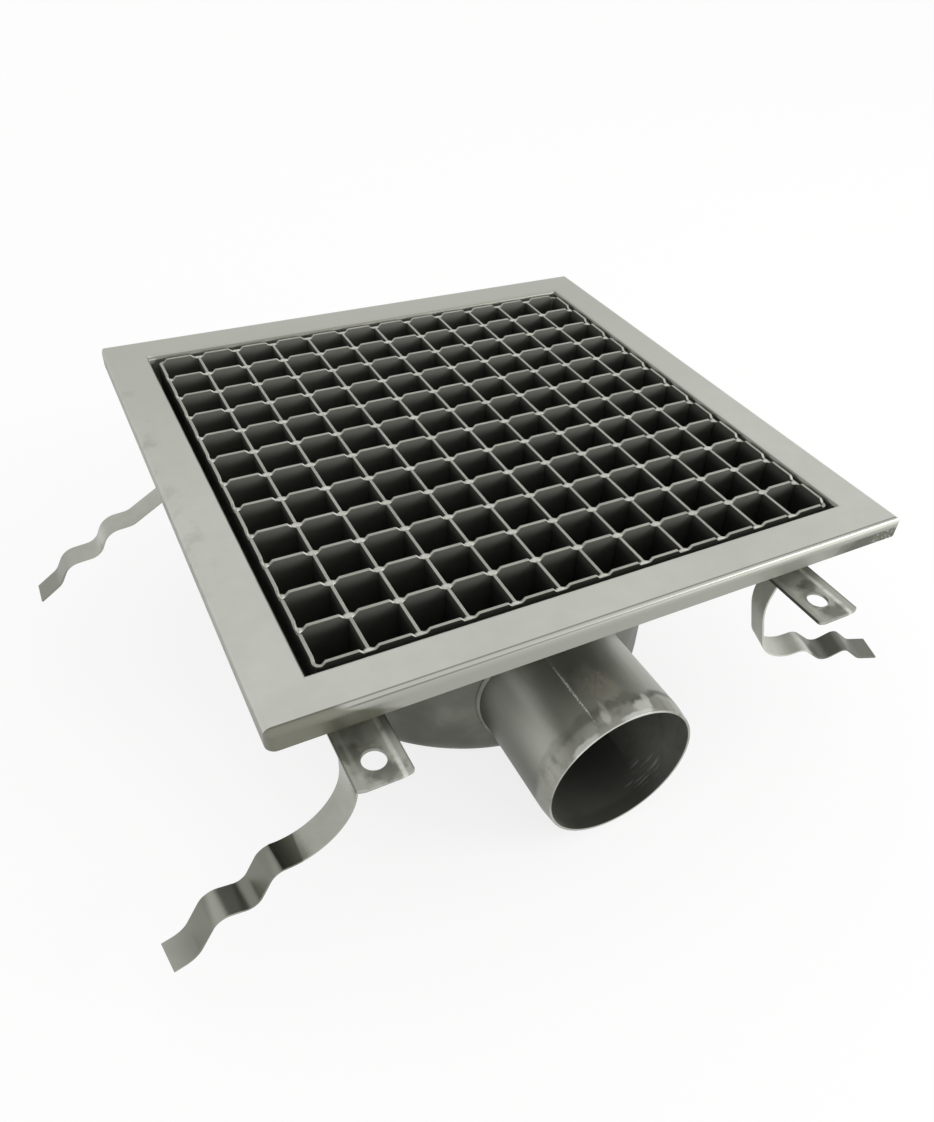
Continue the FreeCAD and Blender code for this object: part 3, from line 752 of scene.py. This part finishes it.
# %% [markdown]
# The model has 46 solids, and each name starts with what the piece is, so the start of the name
# picks the finish. A list of all the names would do the same, but it would miss a new piece. The
# first start that fits wins, so a longer start stands before a shorter one.

# %% Which finish each solid gets
finishes = {
    "frame_": frame_steel,
    "grating_bearing_": bearing_strip,
    "grating_rim_front": front_rim_strip,
    "grating_rim_left": left_rim_strip,
    "grating_rim_right": bearing_strip,
    "grating_": strip,
    "anchor_front_right": brushed_steel,
    "anchor_": bent_steel,
    "lug_": lug_steel,
    "outlet_pipe": tube_steel,
    "outlet_weld": weld_metal,
    "trap_seal": rubber,
}


def finish_of(name):
    """The first finish whose start fits the solid's name; the bowl's own steel for the rest."""
    return next((finishes[start] for start in finishes if name.startswith(start)), bowl_steel)


for name, node in nodes.items():
    dress(node, finish_of(name))
print(len(nodes), "solids dressed")

# %% [markdown]
# Every cut and sheared edge of real sheet is eased a little, and that is where the light catches.
# A round could be faked in the shading alone, but then the outline stays knife-sharp. So a copy is
# bevelled. A solid's mesh is loose triangles, so the copy is merged and its flat faces are joined
# again, and then a bevel of a few tenths of a millimetre follows each sharp edge.

# %% Eased copies of sheared pieces
merge_distance = 0.002 * mm
flat_angle = math.radians(0.6)
sharp_angle = math.radians(32)


def eased_copy(name, width_mm, material):
    mesh = nodes[name].data.copy()
    work = bmesh.new()
    work.from_mesh(mesh)
    bmesh.ops.remove_doubles(work, verts=work.verts, dist=merge_distance)
    bmesh.ops.dissolve_limit(work, angle_limit=flat_angle, verts=work.verts, edges=work.edges)
    work.to_mesh(mesh)
    work.free()
    piece = bpy.data.objects.new("eased_" + name, mesh)
    bpy.context.scene.collection.objects.link(piece)
    bevel = piece.modifiers.new("eased edge", "BEVEL")
    bevel.width = width_mm * mm
    bevel.segments = 2
    bevel.limit_method = "ANGLE"
    bevel.angle_limit = sharp_angle
    bevel.harden_normals = True
    mesh.shade_smooth()
    mesh.set_sharp_from_angle(angle=sharp_angle)
    dress(piece, material)
    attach(piece, "root")
    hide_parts(name)


eased_widths = {
    "grating_": (0.25, "grating_steel"),
    "anchor_": (0.2, "strip_steel"),
    "lug_": (0.2, "strip_steel"),
    "outlet_pipe": (0.2, "pipe_steel"),
}
eased_count = 0
for start, (width_mm, slot_name) in eased_widths.items():
    for name in sorted(nodes):
        if name.startswith(start):
            eased_copy(name, width_mm, finish_of(name))
            eased_count += 1
print(eased_count, "pieces with eased edges")

# %% [markdown]
# Where two strips cross, the press leaves a web of metal in each corner. Webs belong at each of
# the 11 by 11 crossings and where every bar meets the rim. Their places could be typed in. They
# are worked out from the bars' own boxes, so the webs stay with the bars.

# %% Where the strips cross
bar_count = 11
bearing_boxes = [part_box(f"grating_bearing_bar_{i + 1:02d}") for i in range(bar_count)]
cross_boxes = [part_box(f"grating_cross_bar_{i + 1:02d}") for i in range(bar_count)]
node_level = bearing_boxes[0][1][2]
line_x = np.array([(low[0] + high[0]) / 2 for low, high in bearing_boxes])
line_y = np.array([(low[1] + high[1]) / 2 for low, high in cross_boxes])
half_bar = (bearing_boxes[0][1][0] - bearing_boxes[0][0][0]) / 2
left_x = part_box("grating_rim_left")[0][0] + half_bar
right_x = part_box("grating_rim_right")[1][0] - half_bar
front_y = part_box("grating_rim_front")[0][1] + half_bar
back_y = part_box("grating_rim_back")[1][1] - half_bar
inside = np.stack(np.meshgrid(line_x, line_y), axis=-1).reshape(-1, 2)
on_left = np.stack([np.full(bar_count, left_x), line_y], axis=-1)
on_right = np.stack([np.full(bar_count, right_x), line_y], axis=-1)
on_front = np.stack([line_x, np.full(bar_count, front_y)], axis=-1)
on_back = np.stack([line_x, np.full(bar_count, back_y)], axis=-1)
print("pitch, mm:", round(float(np.diff(line_x).mean()) / mm, 2))

# %% [markdown]
# Seen from above, a web is a star with hollow sides, longer along the cross bar than along the
# bearing bar. At the rim it is half a star, because metal is squeezed inwards only, so each web
# has a reach of its own in each of the four directions. A bent disc with a modifier would need one
# object for each web. One star surface, copied as whole arrays, makes them all as a single mesh
# with a few dozen faces each.

# %% The star of a web
star_turns = 16
star_rings = 3
star_hollow = 2.2
foot_drops = 2.5


def web_mesh(centres, reaches, level, drop):
    """Reach * rho * (|cos|, |sin|) to the power star_hollow, with signs, falling as rho squared."""
    angle = np.linspace(0, 2 * math.pi, star_turns, endpoint=False)
    rho = np.arange(1, star_rings + 1) / star_rings
    east, west, north, south = [reaches[:, k, None] for k in range(4)]
    reach_x = np.where(np.cos(angle) > 0, east, west)
    reach_y = np.where(np.sin(angle) > 0, north, south)
    star_x = reach_x * np.sign(np.cos(angle)) * np.abs(np.cos(angle)) ** star_hollow
    star_y = reach_y * np.sign(np.sin(angle)) * np.abs(np.sin(angle)) ** star_hollow
    count = len(centres)
    star_points = star_rings * star_turns + 2
    points = np.zeros((count, star_points, 3))
    points[:, 1:-1, 0] = (rho[None, :, None] * star_x[:, None, :]).reshape(count, -1)
    points[:, 1:-1, 1] = (rho[None, :, None] * star_y[:, None, :]).reshape(count, -1)
    points[:, 1:-1, 2] = -drop * np.repeat(rho ** 2, star_turns)
    points[:, -1, 2] = -foot_drops * drop
    points[:, :, :2] += centres[:, None, :]
    points[:, :, 2] += level
    ring = np.arange(star_turns)
    after = (ring + 1) % star_turns
    faces = [np.stack([np.zeros_like(ring), ring + 1, after + 1], axis=-1)]
    for k in range(star_rings - 1):
        base = 1 + k * star_turns
        below = base + star_turns
        faces.append(np.stack([base + ring, below + ring, below + after], axis=-1))
        faces.append(np.stack([base + ring, below + after, base + after], axis=-1))
    last = 1 + (star_rings - 1) * star_turns
    under = np.full_like(ring, star_points - 1)
    faces.append(np.stack([last + ring, under, last + after], axis=-1))
    one = np.concatenate(faces)
    starts = np.arange(count)[:, None, None] * star_points
    return points.reshape(-1, 3), (starts + one[None]).reshape(-1, 3)


print("a web has", star_rings * star_turns + 2, "points")

# %% [markdown]
# All the webs go into one mesh. On the left rim the press also filled the small dips beside each
# bar, so a second row of narrow webs lies there, a little higher than the first.

# %% Webs at the crossings of the grating
web_x = 4.3 * mm
web_y = 2.4 * mm
dip_y = 4.4 * mm
outward_reach = 0.5 * mm
web_rise = 0.15 * mm
web_drop = 0.4 * mm
fill_rise = 1.1 * mm
fill_drop = 0.3 * mm


def piece_from(name, points, faces, material):
    mesh = bpy.data.meshes.new(name)
    mesh.from_pydata(points.tolist(), [], faces.tolist())
    mesh.validate()
    mesh.shade_smooth()
    piece = bpy.data.objects.new(name, mesh)
    bpy.context.scene.collection.objects.link(piece)
    dress(piece, material)
    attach(piece, "root")
    return piece


rows = [
    (inside, (web_x, web_x, web_y, web_y)),
    (on_left, (web_x, outward_reach, web_y, web_y)),
    (on_right, (outward_reach, web_x, web_y, web_y)),
    (on_front, (web_x, web_x, web_y, outward_reach)),
    (on_back, (web_x, web_x, outward_reach, web_y)),
]
web_centres = np.concatenate([centres for centres, reach in rows])
web_reaches = np.concatenate([np.tile(reach, (len(centres), 1)) for centres, reach in rows])
web_points, web_faces = web_mesh(web_centres, web_reaches, node_level + web_rise, web_drop)
fill_reaches = np.tile((half_bar, half_bar, dip_y, dip_y), (bar_count, 1))
fill_points, fill_faces = web_mesh(on_left, fill_reaches, node_level + fill_rise, fill_drop)
web_faces = np.concatenate([web_faces, fill_faces + len(web_points)])
web_points = np.concatenate([web_points, fill_points])
piece_from("grating_webs", web_points, web_faces, web_metal)
print(len(web_centres), "webs and", len(on_left), "fills,", len(web_faces), "triangles")

# %% [markdown]
# The pipe meets the bowl along a saddle curve, and the weld lies on it. The curve could be found
# by cutting one mesh with another, but its formula is short: a point goes round the pipe, and at
# each angle it is pushed back until it meets the bowl.

# %% Saddle curve of the outlet
bowl_low, bowl_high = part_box("bowl")
bowl_radius = (bowl_high[0] - bowl_low[0]) / 2
bowl_corner = 14 * mm
ripples = 110
steps_per_ripple = 6
steps = ripples * steps_per_ripple
nudge = 1e-4


def bowl_radius_at(z):
    """Straight wall above the rounded corner, a quarter circle below it."""
    fall = np.clip(bowl_corner - z, 0, bowl_corner)
    return bowl_radius - bowl_corner + np.sqrt(bowl_corner ** 2 - fall ** 2)


def seam(phi):
    """Point of the saddle: on the pipe at angle phi, pushed back to the bowl's surface."""
    x = pipe_radius * np.cos(phi)
    z = pipe_z + pipe_radius * np.sin(phi)
    y = -np.sqrt(bowl_radius_at(z) ** 2 - x ** 2)
    return np.stack([x, y, z], axis=-1)


def unit(vectors):
    return vectors / np.linalg.norm(vectors, axis=-1, keepdims=True)


phi = np.linspace(0, 2 * math.pi, steps, endpoint=False)
centre_line = seam(phi)
tangent = unit(seam(phi + nudge) - seam(phi - nudge))
bead_length = float(np.linalg.norm(np.diff(centre_line, axis=0), axis=1).sum())
print("bead, mm long:", round(bead_length / mm, 1))

# %% [markdown]
# The weld is a row of small frozen ripples, one for each dip of the rod. A round curve with a
# bevel would sink half into the sheet. Here the bead is a quarter round between the two walls,
# carried along the saddle and a little thicker at each ripple. Its two legs lie along the pipe and
# along the bowl, and its last point is sunk between them to close it.

# %% Weld bead round the outlet
weld_leg = 1.6 * mm
ripple_share = 0.03
quarter_points = 7
sink = 0.4 * mm
pipe_normal = np.stack([np.cos(phi), np.zeros(steps), np.sin(phi)], axis=-1)
fall = np.clip(bowl_corner - centre_line[:, 2], 0, bowl_corner)
bowl_normal = unit(centre_line * [1, 1, 0]) * np.sqrt(1 - (fall / bowl_corner) ** 2)[:, None]
bowl_normal[:, 2] = -fall / bowl_corner
along_pipe = unit(np.cross(pipe_normal, tangent))
along_pipe *= -np.sign(along_pipe[:, 1:2])
along_bowl = unit(np.cross(bowl_normal, tangent))
along_bowl *= np.sign(np.sum(along_bowl * pipe_normal, axis=-1, keepdims=True))
swell = 1 + ripple_share * np.cos(phi * ripples)
tau = np.linspace(0, math.pi / 2, quarter_points)
arc = (
    np.cos(tau)[None, :, None] * along_pipe[:, None, :]
    + np.sin(tau)[None, :, None] * along_bowl[:, None, :]
)
bead = centre_line[:, None, :] + weld_leg * swell[:, None, None] * arc
sunk = centre_line - sink * unit(pipe_normal + bowl_normal)
loop = np.concatenate([bead, sunk[:, None, :]], axis=1)
across = loop.shape[1]
step_index, side_index = np.meshgrid(np.arange(steps), np.arange(across), indexing="ij")
this_row = step_index.ravel() * across
next_row = (step_index.ravel() + 1) % steps * across
this_side = side_index.ravel()
next_side = (this_side + 1) % across
quad_corners = [this_row + this_side, next_row + this_side, next_row + next_side, this_row + next_side]
quads = np.stack(quad_corners, axis=-1)
bead_piece = piece_from("outlet_bead", loop.reshape(-1, 3), quads, weld_metal)
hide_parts("outlet_weld")
print("bead:", len(quads), "faces")

# %% [markdown]
# The studio has a pale floor, matt white paint, just under the bowl's base. A stronger lamp would
# make the floor white, but the steel as well. So the paint gets a share of plain white light, for
# the camera's rays and for those that metal and glass send on, and it still keeps a soft shadow.

# %% Paint of the floor
floor_share = 0.8
floor_paint, floor_tree, floor_shader = start_material("matt_studio_floor")
floor_tone = add(floor_tree, "TexNoise", {"Scale": 0.7}, {"Vector": object_place(floor_tree)})
floor_ramp = add(floor_tree, "ValToRGB", {}, {"Fac": floor_tone.outputs[0]})
floor_ramp.color_ramp.elements[0].color = linear("#fafaf9")
floor_ramp.color_ramp.elements[1].color = linear("#fdfdfc")
floor_tree.links.new(floor_ramp.outputs[0], floor_shader.inputs["Base Color"])
floor_shader.inputs["Roughness"].default_value = 1.0
floor_shader.inputs["Specular IOR Level"].default_value = 0.0
rays = add(floor_tree, "LightPath").outputs
either = {"operation": "MAXIMUM"}
seen = add(floor_tree, "Math", either, {0: rays["Is Camera Ray"], 1: rays["Is Glossy Ray"]}).outputs[0]
seen_too = add(floor_tree, "Math", either, {0: seen, 1: rays["Is Transmission Ray"]}).outputs[0]
share = add(floor_tree, "Math", {"operation": "MULTIPLY", 1: floor_share}, {0: seen_too}).outputs[0]
white_light = add(floor_tree, "Emission", {"Color": (1, 1, 1, 1), "Strength": 1.0}).outputs[0]
paint_and_light = add(floor_tree, "MixShader", {}, {0: share, 1: floor_shader.outputs[0], 2: white_light})
floor_output = floor_tree.nodes["Material Output"]
floor_tree.links.new(paint_and_light.outputs[0], floor_output.inputs["Surface"])
print("floor paint:", len(floor_tree.nodes), "nodes")

# %% [markdown]
# The floor is one large square, so that its edge is far behind the object. It lies a hair below
# the base, because two faces in the same plane flicker. It is stage, not part of the gully.

# %% Floor
half_floor = 6.0
floor_gap = 0.3 * mm
floor_corners = [(-1, -1), (1, -1), (1, 1), (-1, 1)]
floor_mesh = bpy.data.meshes.new("studio_floor")
floor_mesh.from_pydata([(x * half_floor, y * half_floor, 0) for x, y in floor_corners], [], [(0, 1, 2, 3)])
floor = bpy.data.objects.new("studio_floor", floor_mesh)
floor.location = (0, 0, -floor_gap)
bpy.context.scene.collection.objects.link(floor)
dress(floor, floor_paint)
print("floor, m:", 2 * half_floor, "wide")

# %% [markdown]
# Metal shows what stands round it. An even white sky gives the steel its own grey from all sides,
# and one soft lamp at the front right draws the bright line along the front fold. More lamps would
# model the shape more, but each would add a line of its own that the real steel doesn't show.

# %% Sky and lamp
world = bpy.data.worlds.new("studio_sky")
bpy.context.scene.world = world
world.use_nodes = True
background = world.node_tree.nodes["Background"]
background.inputs["Color"].default_value = (1, 1, 1, 1)
background.inputs["Strength"].default_value = 0.9

lamp_place = np.array([1.3, -1.1, 0.9])
lamp_target = np.array([0, 0, 0.1])
lamp_data = bpy.data.lights.new("front_right_lamp", "AREA")
lamp_data.shape = "RECTANGLE"
lamp_data.size = 0.8
lamp_data.size_y = 0.6
lamp_data.energy = 10
lamp = bpy.data.objects.new("front_right_lamp", lamp_data)
bpy.context.scene.collection.objects.link(lamp)
lamp_back = unit(lamp_place - lamp_target)
lamp_side = unit(np.cross([0, 0, 1.0], lamp_back))
lamp.matrix_world = placed(lamp_side, np.cross(lamp_back, lamp_side), lamp_back, lamp_place)
print("lamp, m away:", round(float(np.linalg.norm(lamp_place - lamp_target)), 2))

# %% [markdown]
# Last, the picture's tones are set to plain sRGB, which shows a colour about as it is written. A film-like
# curve would look softer, but it would grey the white floor.

# %% Settings of the picture
bpy.context.scene.view_settings.view_transform = "Standard"
